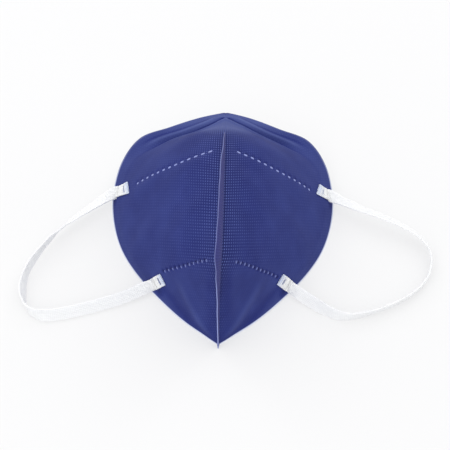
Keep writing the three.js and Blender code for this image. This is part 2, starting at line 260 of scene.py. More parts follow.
def cup_frame(t, v):
    """Outward normal of the right half, and the direction up its section towards the fold."""
    step, inset = 0.01, 0.06
    t = np.clip(t, inset, LAST - inset)
    v = np.clip(v, step, 1 - step)
    down_rows = cup_point(t + step, v) - cup_point(t - step, v)
    up_section = cup_point(t, v - step) - cup_point(t, v + step)
    return unit(np.cross(up_section, down_rows)), unit(up_section)


# ---- Weld marks ------------------------------------------------------------------------------

def weld_marks(line):
    """Places (t, v) of a line's marks, evenly spaced along it on the cloth, with each mark's two
    directions in the cloth, its half length and its half width."""
    places = along(np.array(line["places"]), np.linspace(0, 2, 200))
    points = cup_point(places[:, 0], places[:, 1])
    gone = travelled(points)
    share = np.linspace(0, 1, line["marks"])
    at = np.stack([np.interp(share * gone[-1], gone, places[:, k]) for k in (0, 1)], 1)
    nearest = np.searchsorted(gone, share * gone[-1]).clip(1, len(points) - 1)
    run = unit(points[nearest] - points[nearest - 1])
    normal, _ = cup_frame(at[:, 0], at[:, 1])
    across = unit(np.cross(normal, run))
    centre = cup_point(at[:, 0], at[:, 1])
    out, up, _ = line["shadow_spot"]
    shadow_spot = centre + out * run + up * across
    if line["crosswise"]:
        run, across = across, -run
    length = np.interp(share, [0, 1], line["length"])
    return {"at": at, "centre": centre, "run": run, "across": across, "shadow_spot": shadow_spot,
            "half_length": length / 2, "half_width": np.full(len(at), line["width"] / 2)}


MARKS = {name: weld_marks(line) for name, line in WELD_LINES.items()}

WELD_GUTTER = 0.22  # depth of the shallow channel that a weld line draws in the cloth
GUTTER_REACH = 2.6
WELD_PRESS = 0.2  # further depth under each mark
PRESS_MARGIN = 0.5  # how far that reaches past the mark
# Size of the painted shadow beside each mark, along it and across it.
SHADOW_SPOT_SIZES = (("half_length", 0.5, 0.3), ("half_width", 0.6, 0.4))  # shares of the mark's, and mm more

# A painted shadow on the cloth under each band, where the band leaves it.
BAND_SHADE = {"past": 0.28, "out": 0.05, "strength": 0.6, "reach": 2.2}  # dark spot under each band


def around_marks(points, side, spot):
    """For each mark on one side: its line, its number, and how far the points lie from its centre
    or its painted shadow spot, along the mark, across it and as vectors."""
    for name, marks in MARKS.items():
        if WELD_LINES[name]["side"] == side:
            for k, place in enumerate(marks[spot]):
                gap = points - place
                yield name, k, gap @ marks["run"][k], gap @ marks["across"][k], gap


def weld_relief(points, side):
    """Channel along each weld line and a pressed hollow under each of its marks, as heights below 0."""
    channel, press = np.zeros((2, *points.shape[:-1]))
    for name, k, run, across, gap in around_marks(points, side, "centre"):
        length = MARKS[name]["half_length"][k] + PRESS_MARGIN
        width = MARKS[name]["half_width"][k] + PRESS_MARGIN
        channel = np.maximum(channel, bump(np.linalg.norm(gap, axis=-1), GUTTER_REACH))
        press += np.exp(-((run / length) ** 4)) * bump(across, width)
    return -WELD_GUTTER * channel - WELD_PRESS * press


def weld_painted_shadow(points, side):
    """Painted shadow that each mark casts on the cloth beside it, as darkness 0 or below."""
    dark = np.zeros(points.shape[:-1])
    for name, k, run, across, _ in around_marks(points, side, "shadow_spot"):
        length, width = (share * MARKS[name][size][k] + more for size, share, more in SHADOW_SPOT_SIZES)
        dark = np.minimum(dark, -WELD_LINES[name]["shadow_spot"][2] * bump(run, length) * bump(across, width))
    return dark


def band_painted_shadow(points, side):
    """Painted shadow on the cloth just below each band, where the band leaves it, as darkness 0 or below.
    """
    dark = np.zeros(points.shape[:-1])
    for place, row in BAND_ENDS.items():
        if place.endswith("right") == (side > 0):
            t, v = row["atEnd"] + BAND_SHADE["past"], row["outEnd"] + BAND_SHADE["out"]
            gap = points - cup_point(np.array([t]), np.array([v]))[0]
            dark -= BAND_SHADE["strength"] * bump(np.linalg.norm(gap, axis=-1), BAND_SHADE["reach"])
    return dark


# ---- Relief of the cloth, and light and shade painted on it ----------------------------------

# Sections between which each of these rises, is full, fades and has ended.
CREASE_SPAN = (0.95, 1.06, 2.6, 3.7)
BROW_SPAN = (0.97, 1.1, 2.4, 3.6)
WIRE_SPAN = (0.9, 1.3, 2.75, 3.4)
FIN_FOOT_SPAN = (3.4, 4.4, 8.6, 9.6)
CHIN_PALE_SPAN = (7.6, 8.4, 10.0, 10.8)
CHIN_SPAN = (8.2, 9.0, 10.3, 10.95)

WIRE_ROOM = (5, 9)  # mm of margin over which the wire comes to show
FOLD_ROUNDING = 1.1  # the fold is rounded over so far, down to the section where the fin begins
FIN_BEGINS = (2.9, 3.3)
QUIET_FOLD = (2, 14)  # mm from the fold over which the slow swells begin
QUIET_RIM = (0.86, 1.0)  # and shares of the way to the rim over which they end

# Bells across the cloth: height in mm, or in PAINTED_LIGHT_BELLS the strength of a painted highlight
# (above 0) and of a painted shade (below 0), then place and half width. A place is in mm past the
# section's own crease at the nose, in mm from the fold at the fin, and a share of the body at the chin.
RELIEF = {
    "lip": (0.6, -4.0, 2.8),
    "wire": (0.6, 6.0, 1.9),
    "chin_ridge": (0.55, 0.52, 2.6),
    "chin_hollow": (-0.35, 0.8, 3.2),
}
# A painted highlight on the wire and on the chin's ridges; painted shade past the wire, in the chin's
# hollows, at the fin's foot and beside its bend.
PAINTED_LIGHT_BELLS = {
    "wire": (0.3, 6.0, 1.3),
    "past_wire": (-0.22, 9.3, 1.2),
    "fin_foot": (-0.55, 1.3, 1.0),
    "fin_bend": (-0.3, 3.5, 3.0),
    "chin_ridge": (0.15, 0.5, 2.0),
    "chin_hollow": (-0.15, 0.78, 3.0),
}

# The pressed crease and its painted shade, which is partly the pressed cloth's own darker colour: as
# above, with a half width towards the brow, and two towards the rim, between which it grows from the
# first section to the second.
CREASE = {"height": -0.85, "place": 0.8, "brow": 0.9, "rim": (1.2, 2.2), "sections": (1.4, 2.4)}
CREASE_SHADE = {"height": -0.4, "place": 0.5, "brow": 0.7, "rim": (1.0, 2.6), "sections": (1.4, 2.5)}

# How strong the painted highlight on the cloth is at each of these places, and how much more so on its lip
# at the peak.
PAINTED_HIGHLIGHT = {"peak": 0.4, "margin": 0.1, "bridge": 0.42, "lip": 0.38, "lip_at_peak": 0.3, "cheek": 0.06,
        "chin": 0.07}
# The bridge's pale patch is a painted highlight.
BRIDGE_PLANE = (0.77, 0.64)  # the bridge's pale patch ends on a plane square to this, in y and z,
BRIDGE_ENDS = (101.8, 107)  # between these distances along it,
BRIDGE_SIDES = (7, 20)  # and this far from the middle
FIN_KNEE = 7.9  # the section where the fin turns down to the chin

# Slow swells of the cloth: wavelength in mm, direction in degrees, phase, height.
SWELLS = np.array([
    [46, 20, 0.3, 0.22],
    [31, 75, 1.9, 0.18],
    [23, 130, 4.1, 0.12],
    [17, 40, 2.6, 0.07],
    [13, 105, 5.2, 0.05],
])


def bell(row, x, scale=1):
    """One row of a table of bells, read at x: its height times a bump about its place."""
    height, place, width = row
    return height * bump((x - place) * scale, width)


def crease_bell(crease, x, t):
    """The pressed crease or its shade: a bump with one width towards the brow and another towards
    the rim, which grows with a smoothstep from section to section."""
    x = x - crease["place"]
    near, far = crease["rim"]
    width = np.where(x < 0, crease["brow"], near + (far - near) * ease(t, *crease["sections"]))
    return crease["height"] * bump(x, width)


def nose_margin(t, strip):
    """How far the nose's pressed crease, and the wire in its margin, are there at a section."""
    return span(t, *CREASE_SPAN), span(t, *WIRE_SPAN) * ease(strip, *WIRE_ROOM)


def relief(points, t, v, side):
    """Height of the cloth over its smooth form: the pressed crease of the nose margin with its lip
    and the rib of the wire inside it, the rounded fold above the fin, two soft ridges that spread
    from the chin, the weld lines, and slow swells that die out towards the fold and the rim."""
    body, strip = section_lengths(t)
    from_fold = v * (body + strip)
    past_crease = from_fold - body
    nose, wire = nose_margin(t, strip)
    height = nose * (crease_bell(CREASE, past_crease, t) + bell(RELIEF["lip"], past_crease))
    height += wire * bell(RELIEF["wire"], past_crease)
    open_fold = 1 - ease(t, *FIN_BEGINS)
    height -= 0.5 * open_fold * (np.hypot(from_fold, FOLD_ROUNDING) - from_fold)
    chin = bell(RELIEF["chin_ridge"], v, body) + bell(RELIEF["chin_hollow"], v, body)
    height += span(t, *CHIN_SPAN) * chin
    calm = ease(from_fold, *QUIET_FOLD) * (1 - ease(v, *QUIET_RIM))
    for wavelength, turn, phase, swell in SWELLS:
        run = side * points[..., 0] * np.cos(np.radians(turn)) + points[..., 1] * np.sin(np.radians(turn))
        height += calm * swell * np.sin(2 * np.pi * run / wavelength + phase + side)
    return height + weld_relief(points, side)


def nose_painted_shading(t, v):
    """The nose's share of painted_shading(). The crease has a painted shade, partly the pressed cloth's
    own darker colour, broader away from the middle; the wire has a painted highlight and the cloth past
    it painted shade; the margin has a painted highlight at the peak and a little all along. The brow
    below the crease has a painted highlight along its lip and on the bridge, which ends on a slant
    plane."""
    body, strip = section_lengths(t)
    past_crease = v * (body + strip) - body
    nose, wire = nose_margin(t, strip)
    peak = 1 - ease(t, 1.0, 2.6)
    value = nose * crease_bell(CREASE_SHADE, past_crease, t) * (1 - 0.8 * ease(t, 1.3, 2.2))
    value += wire * (bell(PAINTED_LIGHT_BELLS["wire"], past_crease) + bell(PAINTED_LIGHT_BELLS["past_wire"], past_crease))
    over_crease = ease(past_crease + 5 * (1 - ease(t, 0.9, 1.0)), 1.2, 4.0)
    value += PAINTED_HIGHLIGHT["peak"] * ease(t, 0.1, 0.5) * peak * over_crease
    margin = ease(past_crease, 0.8, 3.0) * ease(t, 1.0, 1.6) * (1 - 0.6 * ease(t, 3.6, 5.0))
    value += PAINTED_HIGHLIGHT["margin"] * margin
    point = cup_point(t, v)
    bridge = ease(point[..., 1:] @ BRIDGE_PLANE, *BRIDGE_ENDS) * (1 - ease(point[..., 0], *BRIDGE_SIDES))
    lip = (PAINTED_HIGHLIGHT["lip"] + PAINTED_HIGHLIGHT["lip_at_peak"] * peak) * bump(np.minimum(past_crease + 2.5, 0), 4.5)
    brow = span(t, *BROW_SPAN) * ease(past_crease, 0.2, -1.2)
    return value + brow * np.maximum(PAINTED_HIGHLIGHT["bridge"] * bridge, lip)


def painted_shading(t, v, side):
    """Painted shade (below 0) and painted highlight (above 0) on the cloth: the nose; a little painted
    highlight on the chin, more on its ridges, and painted shade in the hollows beside them; a painted
    highlight on the cheeks; and painted shadow at the foot of the fin, on both sides of its bend,
    beside each weld mark and below each band."""
    body, strip = section_lengths(t)
    from_fold = v * (body + strip)
    chin = bell(PAINTED_LIGHT_BELLS["chin_ridge"], v, body) + bell(PAINTED_LIGHT_BELLS["chin_hollow"], v, body)
    value = nose_painted_shading(t, v) + span(t, *CHIN_SPAN) * chin
    value += PAINTED_HIGHLIGHT["chin"] * span(t, *CHIN_PALE_SPAN) * ease(from_fold, 5, 12)
    value += PAINTED_HIGHLIGHT["cheek"] * ease(from_fold, 16, 45)
    value += span(t, *FIN_FOOT_SPAN) * bell(PAINTED_LIGHT_BELLS["fin_foot"], from_fold)
    value += bump(t - FIN_KNEE, 0.75) * bell(PAINTED_LIGHT_BELLS["fin_bend"], from_fold)
    point = cup_point(t, v)
    return value + weld_painted_shadow(point, side) + band_painted_shadow(point, side)


def skin(t, v, side, depth=0.0):
    """Point of the cloth at a depth below its outer face. Near the fold the offset turns into the
    fold's own plane, so that the halves meet there; what would lie below the surface that the mask
    rests on slides up the section to it. The fold's stray to one side dies out as a bell."""
    point = cup_point(t, v)
    normal, up_section = cup_frame(t, v)
    own = 1 - np.exp(-np.abs(point[..., :1]) / RIDGE_BLEND)
    direction = unit(normal * np.concatenate([own, np.ones_like(own), np.ones_like(own)], -1))
    lift = relief(point, t, v, side) - depth
    lift = lift / np.maximum((direction * normal).sum(-1), 0.3)
    point = point + lift[..., None] * direction
    stray = along(SECTIONS[:, 0], t) * bump(v * sum(section_lengths(t)), STRAY_REACH)
    slide = np.where(point[..., 2] < 0, -point[..., 2] / np.maximum(up_section[..., 2], 0.2), 0)
    point = point + slide[..., None] * up_section
    point = point * [side, 1, 1]
    return np.stack([point[..., 0] + stray, point[..., 1], np.maximum(point[..., 2], 0)], -1)


# ---- Meshes ----------------------------------------------------------------------------------

def tube_triangles(rows, ring, closed_ends):
    """Triangles between the rings of a tube, and fans over its two ends where they are flat."""
    i, j = np.meshgrid(np.arange(rows - 1), np.arange(ring), indexing="ij")
    a, b = i * ring + j, i * ring + (j + 1) % ring
    quads = np.stack([a, b, b + ring, a + ring], -1).reshape(-1, 4)
    triangles = [quads[:, [0, 1, 2]], quads[:, [0, 2, 3]]]
    if closed_ends:
        k = np.arange(1, ring - 1)
        first = np.stack([0 * k, k + 1, k], 1)
        triangles += [first, first[:, ::-1] + (rows - 1) * ring]
    return np.concatenate(triangles)


def signed_volume(points, triangles):
    """Volume inside a closed mesh, below 0 where its faces point inwards."""
    a, b, c = (points[triangles[:, k]] for k in range(3))
    return float((a * np.cross(b, c)).sum()) / 6


def make_piece(name, points, triangles, materials, slots=None, uv=None, values=None, sharp=35):
    """One mesh object. Points that coincide are merged, empty triangles dropped, and the whole is
    turned right side out. slots gives each triangle's material; uv and values are one a point."""
    points = points.reshape(-1, 3)
    _, first, same = np.unique(np.round(points, 5), axis=0, return_index=True, return_inverse=True)
    triangles = same.reshape(-1)[triangles]
    points = points[first]
    kept = (triangles != np.roll(triangles, 1, axis=1)).all(axis=1)
    triangles = triangles[kept]
    if signed_volume(points, triangles) < 0:
        triangles = triangles[:, ::-1]
    mesh = bpy.data.meshes.new(name)
    mesh.from_pydata(((points - [0, MID_Y, 0]) * MM).tolist(), [], triangles.tolist())
    if slots is not None:
        mesh.polygons.foreach_set("material_index", slots[kept].astype(np.int32))
    if uv is not None:
        layer = mesh.uv_layers.new(name="cloth")
        layer.data.foreach_set("uv", uv.reshape(-1, 2)[first][triangles].astype(np.float32).ravel())
    for key, value in (values or {}).items():
        attribute = mesh.attributes.new(key, "FLOAT", "POINT")
        attribute.data.foreach_set("value", value.reshape(-1)[first].astype(np.float32))
    for material in materials:
        mesh.materials.append(material)
    mesh.shade_smooth()
    mesh.set_sharp_from_angle(angle=np.radians(sharp))
    piece = bpy.data.objects.new(name, mesh)
    bpy.context.scene.collection.objects.link(piece)
    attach(piece, "root")
    return piece


# ---- Materials -------------------------------------------------------------------------------

BOND_PITCH = (1.6, 1.45)  # mm along a row of bond points, and between rows
BOND_SIZE = (0.8, 0.75)
FIBRE_GRAIN = 0.35  # mm; real fibres are a tenth of this, too fine to show
CLOUD = 13  # mm over which the web's weight varies
PATCH = 7  # mm of web over which its bond points show more or less
FELT = 0.5  # mm, the tufts of a cut or torn edge
MOTTLE = 0.4  # mm, the mottle of a fused film
WALE_PITCH = 0.8  # mm between the elastic's lengthwise wales
STITCH_PITCH = 0.9


def linear(hex_colour):
    """An sRGB hex colour as linear red, green, blue and alpha."""
    srgb = np.array([int(hex_colour[k:k + 2], 16) for k in (1, 3, 5)]) / 255
    rgb = np.where(srgb <= 0.04045, srgb / 12.92, ((srgb + 0.055) / 1.055) ** 2.4)
    return (*rgb, 1.0)


def add(material, kind, inputs=(), output=0, **settings):
    """Adds a shader node and gives one of its outputs. Settings are the node's own properties, and
    inputs, in order or by name or number, are values or other nodes' outputs to link."""
    tree = material.node_tree
    node = tree.nodes.new(f"ShaderNode{kind}")
    for key, value in settings.items():
        setattr(node, key, value)
    for key, value in dict(inputs if isinstance(inputs, dict) else enumerate(inputs)).items():
        if isinstance(value, bpy.types.NodeSocket):
            tree.links.new(value, node.inputs[key])
        else:
            node.inputs[key].default_value = value
    return node.outputs[output] if node.outputs else None


def new_material(name):
    """A material with an empty node tree."""
    material = bpy.data.materials.new(name)
    material.use_nodes = True
    material.node_tree.nodes.clear()
    return material


def finish_material(material, base, layers, bump_of, constants):
    """Ends a material: its base colour with other colours laid over it in turn, each by its own
    share; a bump, given as height, strength and depth in mm; and the shader's own constants."""
    colour = linear(base)
    for share, over in layers:
        colour = add(material, "Mix", {0: share, 6: colour, 7: linear(over)}, 2, data_type="RGBA")
    inputs = {"Base Color": colour, **constants}
    if bump_of:
        height, strength, depth = bump_of
        inputs["Normal"] = add(material, "Bump", {"Height": height, "Strength": strength,
                                                  "Distance": depth * MM})
    add(material, "OutputMaterial", [add(material, "BsdfPrincipled", inputs)])
    return material


def spunbond_web(material):
    """A spunbond web, drawn from the cloth's flat coordinates in mm. Gives those coordinates, the
    bond points (ovals on a rectangular grid, 1 on them and 0 between), the drawn fibres, and the
    web's height."""
    web = add(material, "UVMap", uv_map="cloth")
    spread = [2 * pitch / size for pitch, size in zip(BOND_PITCH, BOND_SIZE)]
    cell = web
    for operation, *by in (["DIVIDE", (*BOND_PITCH, 1.0)], ["FRACTION"], ["SUBTRACT", (0.5, 0.5, 0)],
                           ["MULTIPLY", (*spread, 0.0)]):
        cell = add(material, "VectorMath", [cell, *by], operation=operation)
    distance = add(material, "VectorMath", [cell], "Value", operation="LENGTH")
    dots = add(material, "MapRange", {"Value": distance, "From Min": 1.35, "From Max": 0.55},
               interpolation_type="SMOOTHSTEP")
    drawn = (1 / FIBRE_GRAIN, 0.45 / FIBRE_GRAIN, 1 / FIBRE_GRAIN)
    drawn_web = add(material, "Mapping", {"Vector": web, "Scale": drawn})
    fibres = add(material, "TexNoise", {"Vector": drawn_web, "Scale": 1.0, "Detail": 3.0}, "Fac")
    raised = add(material, "Math", [fibres, 0.4], operation="MULTIPLY")
    height = add(material, "Math", [dots, -0.6, raised], operation="MULTIPLY_ADD")
    return web, dots, fibres, height


def navy_spunbond():
    """Navy polypropylene spunbond: a matt felt of fine endless fibres, welded at a grid of bond
    points. Where the cloth is drawn taut beside the seam it is darker, and its bond points carry a
    painted glint; painted_shading lays painted shade and painted highlight over the whole."""
    material = new_material("navy_polypropylene_spunbond")
    web, dots, fibres, height = spunbond_web(material)
    seam_dark_and_glint, pressed, cut = (add(material, "Attribute", output="Fac", attribute_name=name)
                           for name in ("seam_dark_and_glint", "painted_shading", "rim"))
    place = add(material, "TexCoord", output="Object")
    drift = add(material, "TexNoise", {"Vector": place, "Scale": 1 / (CLOUD * MM), "Detail": 2.0}, "Fac")
    clouds = add(material, "MapRange", {"Value": drift, "From Min": 0.3, "From Max": 0.7})
    # Beside the seam the cloth is darker (deep), and shown paints a glint on its bond points there.
    deep = add(material, "Math", [seam_dark_and_glint, 0.8], operation="MULTIPLY")
    fluff = add(material, "Math", [fibres, 0.3], operation="MULTIPLY")
    # pressed carries painted_shading: pale mixes in a painted highlight where it is above 0, and dark a
    # painted shade where it is below 0.
    pale = add(material, "MapRange", {"Value": pressed, "From Max": 1.0, "To Max": 0.8})
    dark = add(material, "MapRange", {"Value": pressed, "From Max": -1.0, "To Max": 0.75})
    patches = add(material, "TexNoise", {"Vector": web, "Scale": 1 / PATCH, "Detail": 2.0}, "Fac")
    patchy = add(material, "Math", [patches, 0.9, 0.25], operation="MULTIPLY_ADD")
    strength = add(material, "Math", [seam_dark_and_glint, patchy], operation="MULTIPLY")
    shown = add(material, "Math", [dots, strength], operation="MULTIPLY")
    layers = [(clouds, "#252f70"), (deep, "#0e134c"), (fluff, "#2d3a81"), (pale, "#6370a6"),
              (dark, "#0e1243"), (shown, "#6170b4"), (cut, "#d0d7ee")]
    return finish_material(material, "#1a2262", layers, (height, 0.6, 0.12), {
        "Roughness": 0.85, "IOR": 1.49, "Specular IOR Level": 0.18,
        "Sheen Weight": 0.04, "Sheen Roughness": 0.5, "Sheen Tint": linear("#b9c4f2")})


def white_lining():
    """White polypropylene spunbond lining: the same web undyed, soft and matt."""
    material = new_material("white_spunbond_lining")
    _, dots, fibres, height = spunbond_web(material)
    shown = add(material, "Math", [dots, 0.35], operation="MULTIPLY")
    layers = [(fibres, "#f4f6f8"), (shown, "#c9cfdb")]
    return finish_material(material, "#dfe3ea", layers, (height, 0.6, 0.12), {"Roughness": 0.8})


def cut_plies():
    """The laminate's cut edge: a navy ply over pale felted plies, pressed together by the blade."""
    material = new_material("cut_laminate_edge")
    ply = add(material, "Attribute", output="Fac", attribute_name="depth")
    place = add(material, "TexCoord", output="Object")
    rough = add(material, "TexNoise", {"Vector": place, "Scale": 1 / (FELT * MM), "Detail": 2.0}, "Fac")
    torn = add(material, "Math", [rough, 0.3, -0.15], operation="MULTIPLY_ADD")
    through = add(material, "Math", [ply, torn], operation="ADD")
    felt = add(material, "MapRange", {"Value": through, "From Min": 0.15, "From Max": 0.45})
    return finish_material(material, "#434d89", [(felt, "#a5acc4")], (rough, 0.5, 0.1), {"Roughness": 0.75})


def fused_mark(name, low, high):
    """Cloth melted to a film by the welding horn: smooth, paler and a little glossy."""
    material = new_material(name)
    place = add(material, "TexCoord", output="Object")
    mottle = add(material, "TexNoise", {"Vector": place, "Scale": 1 / (MOTTLE * MM), "Detail": 2.0}, "Fac")
    return finish_material(material, low, [(mottle, high)], (mottle, 0.4, 0.08),
                           {"Roughness": 0.38, "IOR": 1.49})


def welded_fin():
    """Both panels welded together: dull ribbed faces with a violet cast, and a pale cut edge."""
    material = new_material("welded_seam_allowance")
    edge, rib = (add(material, "Attribute", output="Fac", attribute_name=name) for name in ("edge", "rib"))
    place = add(material, "TexCoord", output="Object")
    felt = add(material, "TexNoise", {"Vector": place, "Scale": 1 / (FELT * MM), "Detail": 3.0}, "Fac")
    fluff = add(material, "Math", [felt, 0.35], operation="MULTIPLY")
    layers = [(rib, "#383a74"), (fluff, "#41437c"), (edge, "#959fd4")]
    return finish_material(material, "#2e3067", layers, (felt, 0.5, 0.1), {
        "Roughness": 0.6, "IOR": 1.49, "Specular IOR Level": 0.15})


def knitted_elastic():
    """White flat elastic: nylon loops knitted over rubber threads, soft and matt, with lengthwise
    wales and short slanting stitches. Where the horn has pressed it, the navy shows through."""
    material = new_material("white_knitted_elastic")
    thread = add(material, "UVMap", uv_map="cloth")
    pressed, glazed = (add(material, "Attribute", output="Fac", attribute_name=name)
                       for name in ("pressed", "glazed"))
    across = add(material, "SeparateXYZ", [thread])
    columns = add(material, "Math", [across, WALE_PITCH], operation="DIVIDE")
    wale = add(material, "Math", [columns, 0.5], operation="PINGPONG")
    rows = add(material, "Math", [across.node.outputs["Y"], STITCH_PITCH], operation="DIVIDE")
    slanted = add(material, "Math", [rows, wale], operation="ADD")
    stitch = add(material, "Math", [slanted, 0.5], operation="PINGPONG")
    knit = add(material, "Math", [wale, stitch], operation="ADD")
    glaze = add(material, "Math", [glazed, 0.8], operation="MULTIPLY")
    layers = [(knit, "#e6e7e8"), (glaze, "#aebcde"), (pressed, "#535e8a")]
    return finish_material(material, "#d4d5d7", layers, (knit, 0.5, 0.12), {
        "Roughness": 0.8, "Sheen Weight": 0.2, "Subsurface Weight": 0.8,
        "Subsurface Radius": (1.0, 1.0, 1.0), "Subsurface Scale": 2 * MM})


# ---- Camera ----------------------------------------------------------------------------------

CAMERA_ELEVATION = 50.0
CAMERA_AZIMUTH = 1.6
CAMERA_DISTANCE = 0.700
CAMERA_LENS = 112.0
SUBJECT = np.array([0.0, 0.0015, 0.022])  # what the camera stands away from
AIM_RIGHT = 0.00175  # the picture's middle lies this far beside and above it
AIM_UP = -0.00525


def put(name, data, place, facing):
    """A camera or a light at a place, turned to face a direction."""
    thing = bpy.data.objects.new(name, data)
    thing.location = Vector(place)
    thing.rotation_mode = "QUATERNION"
    thing.rotation_quaternion = Vector(facing).to_track_quat("-Z", "Y")
    bpy.context.scene.collection.objects.link(thing)
    return thing


def make_camera():
    """A long lens at the front, looking down at the mask."""
    elevation, azimuth = np.radians(CAMERA_ELEVATION), np.radians(CAMERA_AZIMUTH)
    back = np.array([np.sin(azimuth) * np.cos(elevation), -np.cos(azimuth) * np.cos(elevation),
                     np.sin(elevation)])
    right = np.array([np.cos(azimuth), np.sin(azimuth), 0.0])
    up = np.cross(back, right)
    place = SUBJECT + CAMERA_DISTANCE * back
    aim = SUBJECT + AIM_RIGHT * right + AIM_UP * up
    data = bpy.data.cameras.new("camera")
    data.lens = CAMERA_LENS
    data.clip_end = 20
    bpy.context.scene.camera = put("camera", data, place, aim - place)


make_camera()

# ---- Bands -----------------------------------------------------------------------------------

BAND_CLEAR = 0.05  # the welded end lies this close to the cloth
EDGE_BEND = 0.62  # powers of the superellipse that is the band's section
FACE_BEND = 0.34
RING_POINTS = 56
END_STATIONS = 60
PRINTS = {  # the horn's print: how far it lies from the cut end, half its length, and its depth
    "upper_left": [4.1, 2.4, 0.75],
    "upper_right": [4.5, 1.7, 0.55],
    "lower_left": [3.2, 2.3, 1.0],
    "lower_right": [3.3, 1.9, 0.8],
}
FLARE_REACH = 9.0  # the pressed end is back to the band's own width this far from its cut end
SLANT_FROM = 2.0  # and a cut off square straightens out between here
SLANT_REACH = 8.5  # and here
END_THINNING = 0.28  # how much thinner the horn has pressed the end, and the print in it
PRINT_THINNING = 0.22
LOOP_STEP = 0.45
WALE_DEPTH = 0.045
PRINT_HALF = (0.95, 0.3)  # half the print's width, along the band, at its edge and on its flat
PRINT_ROUND = 0.6  # share of its half length, across the band, that is flat
CUT_GLAZE = 0.5  # how glazed the band is up to its print, and under it
PRINT_GLAZE = 0.4


def band_ring():
    """Cross-section of a flat band: places across and through it. It is a superellipse, with both
    faces fluted by the wales."""
    angle = 2 * np.pi * np.arange(RING_POINTS) / RING_POINTS
    c, s = np.cos(angle), np.sin(angle)
    across = BAND_WIDTH / 2 * np.sign(c) * np.abs(c) ** EDGE_BEND
    through = BAND_THICKNESS / 2 * np.sign(s) * np.abs(s) ** FACE_BEND
    flute = WALE_DEPTH * np.cos(2 * np.pi * across / WALE_PITCH) * np.abs(s)
    return across, through + np.sign(s) * flute


def band_end_line(row, side):
    """Stations of a band's welded end: points on the cloth, run, normal and width directions."""
    f = np.linspace(0, 1, END_STATIONS)
    t = row["at"] + (row["atEnd"] - row["at"]) * f
    v = row["out"] + (row["outEnd"] - row["out"]) * f
    flip = np.array([side, 1, 1])
    point = skin(t, v, side)
    run = unit(np.gradient(point, axis=0))
    normal = cup_frame(t, v)[0] * flip
    across = unit(np.cross(run, normal))
    return point, run, np.cross(across, run), across


def centripetal(points, step):
    """Centripetal Catmull-Rom through the points: places about one step apart, from its end knots
    carried straight on, by Barry and Goldman's pyramid of linear blends."""
    p = np.concatenate([[2 * points[0] - points[1]], points, [2 * points[-1] - points[-2]]])
    knots = np.concatenate([[0], np.cumsum(np.linalg.norm(np.diff(p, axis=0), axis=1) ** 0.5)])
    pieces = []
    for k in range(1, len(p) - 2):
        count = max(2, round(float(np.linalg.norm(p[k + 1] - p[k])) / step))
        x = np.linspace(knots[k], knots[k + 1], count, endpoint=False)[:, None]

        def blend(a, b, i, j):
            """Linear blend from a at knot i to b at knot j."""
            return (a * (knots[j] - x) + b * (x - knots[i])) / (knots[j] - knots[i])

        first, second, third = (blend(p[k + m], p[k + m + 1], k + m, k + m + 1) for m in (-1, 0, 1))
        low, high = blend(first, second, k - 1, k + 1), blend(second, third, k, k + 2)
        pieces.append(blend(low, high, k, k + 1))
    return np.concatenate([*pieces, p[-2:-1]])


def band_mesh(name, centre, across, through, values, press=None):
    """A band along its centre line: the fluted section set out by its two directions at each
    station. press thins it from above, in mm, at each point of each ring."""
    a, h = band_ring()
    height = np.broadcast_to(h, (len(centre), len(h)))
    if press is not None:
        height = np.where(height > 0, height - press, height)
    grid = centre[:, None] + a[None, :, None] * across[:, None] + height[..., None] * through[:, None]
    grid[..., 2] = np.maximum(grid[..., 2], FLOOR_CLEAR)
    uv = np.stack(np.broadcast_arrays(a[None, :], travelled(centre)[:, None]), -1)
    triangles = tube_triangles(len(centre), RING_POINTS, True)
    return make_piece(name, grid, triangles, [ELASTIC], uv=uv, values=values)


def stamp(place, across, gone):
    """Depth of the horn's print near the cut end: a short bar across the band."""
    from_end, half_length, depth = PRINTS[place]
    wide = ease(np.abs(gone - from_end), *PRINT_HALF)
    return depth * wide * ease(np.abs(across), half_length, PRINT_ROUND * half_length)


def make_band_end(place, side):
    """The band's welded end along its line on the cloth: cut askew by sliding each place along the
    band by its place across it, wider and thinner at its cut edge, and glazed by the horn."""
    row = BAND_ENDS[place]
    point, run, normal, across = band_end_line(row, side)
    centre = point + normal * (BAND_CLEAR + BAND_THICKNESS / 2)
    gone = travelled(centre)[:, None]
    a, _ = band_ring()
    print_depth = stamp(place, a[None, :], gone)
    print_at = PRINTS[place][0]
    press = END_THINNING * (1 - ease(gone, print_at + 1, print_at + 3)) + PRINT_THINNING * print_depth
    slant = row["askew"] * (1 - ease(gone, SLANT_FROM, SLANT_REACH)) * np.sign(-across[:, 2:])
    glaze = CUT_GLAZE * (1 - ease(gone, 0.35 * print_at, 0.6 * print_at))
    glaze += PRINT_GLAZE * (1 - ease(gone, print_at, print_at + 1))
    wider = 1 + row["flare"] * (1 - ease(gone, 0, FLARE_REACH))
    values = {"pressed": print_depth, "glazed": np.broadcast_to(glaze, print_depth.shape)}
    piece = band_mesh(f"{place}_band_end", centre, wider * (across - slant * run), normal, values, press)
    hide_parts(f"{place}_strap_end")
    return {"centre": centre[-1], "run": run[-1], "across": across[-1]}


